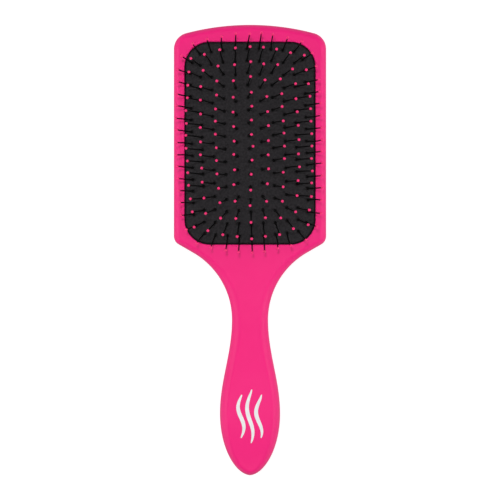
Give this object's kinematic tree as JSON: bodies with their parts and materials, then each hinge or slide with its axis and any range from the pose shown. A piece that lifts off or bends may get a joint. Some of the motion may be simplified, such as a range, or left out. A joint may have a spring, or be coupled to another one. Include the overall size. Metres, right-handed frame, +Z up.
{
  "type": "paddle hair brush",
  "caption": "Flat paddle hair brush: a two-shell handle and frame round a crowned air cushion that carries columns of ball-tipped bristles.",
  "frame": {"origin": "under the middle of the brush, on the surface that its back lies on", "axes": "+Z up, out of the bristles; +Y along the brush towards the head's far end; X across the head"},
  "size_m": [0.0886, 0.262, 0.0372],
  "materials": {
    "soft_touch_shell": "satin soft-touch coating",
    "cushion_rubber": "matte",
    "bristle_nylon": "satin",
    "ball_resin": "gloss",
    "print_ink": "printed"
  },
  "bodies": {
    "handle": {"back_shell": "soft_touch_shell", "front_shell": "soft_touch_shell"},
    "cushion": {"cushion_pad": "cushion_rubber"},
    "column_01": {"bristles_01": "bristle_nylon", "ball_tips_01": "ball_resin"},
    "column_02": {"bristles_02": "bristle_nylon", "ball_tips_02": "ball_resin"},
    "column_03": {"bristles_03": "bristle_nylon", "ball_tips_03": "ball_resin"},
    "column_04": {"bristles_04": "bristle_nylon", "ball_tips_04": "ball_resin"},
    "column_05": {"bristles_05": "bristle_nylon", "ball_tips_05": "ball_resin"},
    "column_06": {"bristles_06": "bristle_nylon", "ball_tips_06": "ball_resin"},
    "column_07": {"bristles_07": "bristle_nylon", "ball_tips_07": "ball_resin"},
    "column_08": {"bristles_08": "bristle_nylon", "ball_tips_08": "ball_resin"},
    "column_09": {"bristles_09": "bristle_nylon", "ball_tips_09": "ball_resin"},
    "column_10": {"bristles_10": "bristle_nylon", "ball_tips_10": "ball_resin"},
    "column_11": {"bristles_11": "bristle_nylon", "ball_tips_11": "ball_resin"}
  },
  "joints": [
    {"name": "cushion_press", "type": "slide", "parent": "handle", "child": "cushion", "axis": [0, 0, -1], "range_m": [0, 0.0025], "stiffness_N_per_m": 2000, "deforming": ["cushion_pad"]},
    {"name": "bristle_sweep_01", "type": "hinge", "parent": "cushion", "child": "column_01", "pos_m": [-0.03354, 0.06136, 0.01235], "axis": [-0.0253, 0.9997, 0], "range_deg": [-9, 9], "stiffness_Nm_per_rad": 0.02},
    {"name": "bristle_sweep_02", "type": "hinge", "parent": "cushion", "child": "column_02", "pos_m": [-0.02754, 0.06151, 0.01384], "axis": [-0.0253, 0.9997, 0], "range_deg": [-9, 9], "stiffness_Nm_per_rad": 0.02},
    {"name": "bristle_sweep_03", "type": "hinge", "parent": "cushion", "child": "column_03", "pos_m": [-0.02114, 0.06168, 0.01499], "axis": [-0.0253, 0.9997, 0], "range_deg": [-9, 9], "stiffness_Nm_per_rad": 0.02},
    {"name": "bristle_sweep_04", "type": "hinge", "parent": "cushion", "child": "column_04", "pos_m": [-0.01435, 0.06185, 0.01579], "axis": [-0.0253, 0.9997, 0], "range_deg": [-9, 9], "stiffness_Nm_per_rad": 0.02},
    {"name": "bristle_sweep_05", "type": "hinge", "parent": "cushion", "child": "column_05", "pos_m": [-0.00745, 0.06202, 0.01619], "axis": [-0.0253, 0.9997, 0], "range_deg": [-9, 9], "stiffness_Nm_per_rad": 0.02},
    {"name": "bristle_sweep_06", "type": "hinge", "parent": "cushion", "child": "column_06", "pos_m": [-0.00045, 0.0622, 0.0163], "axis": [-0.0253, 0.9997, 0], "range_deg": [-9, 9], "stiffness_Nm_per_rad": 0.02},
    {"name": "bristle_sweep_07", "type": "hinge", "parent": "cushion", "child": "column_07", "pos_m": [0.00655, 0.06238, 0.01622], "axis": [-0.0253, 0.9997, 0], "range_deg": [-9, 9], "stiffness_Nm_per_rad": 0.02},
    {"name": "bristle_sweep_08", "type": "hinge", "parent": "cushion", "child": "column_08", "pos_m": [0.01345, 0.06255, 0.01586], "axis": [-0.0253, 0.9997, 0], "range_deg": [-9, 9], "stiffness_Nm_per_rad": 0.02},
    {"name": "bristle_sweep_09", "type": "hinge", "parent": "cushion", "child": "column_09", "pos_m": [0.02024, 0.06272, 0.01512], "axis": [-0.0253, 0.9997, 0], "range_deg": [-9, 9], "stiffness_Nm_per_rad": 0.02},
    {"name": "bristle_sweep_10", "type": "hinge", "parent": "cushion", "child": "column_10", "pos_m": [0.02664, 0.06289, 0.01403], "axis": [-0.0253, 0.9997, 0], "range_deg": [-9, 9], "stiffness_Nm_per_rad": 0.02},
    {"name": "bristle_sweep_11", "type": "hinge", "parent": "cushion", "child": "column_11", "pos_m": [0.03264, 0.06304, 0.0126], "axis": [-0.0253, 0.9997, 0], "range_deg": [-9, 9], "stiffness_Nm_per_rad": 0.02}
  ]
}
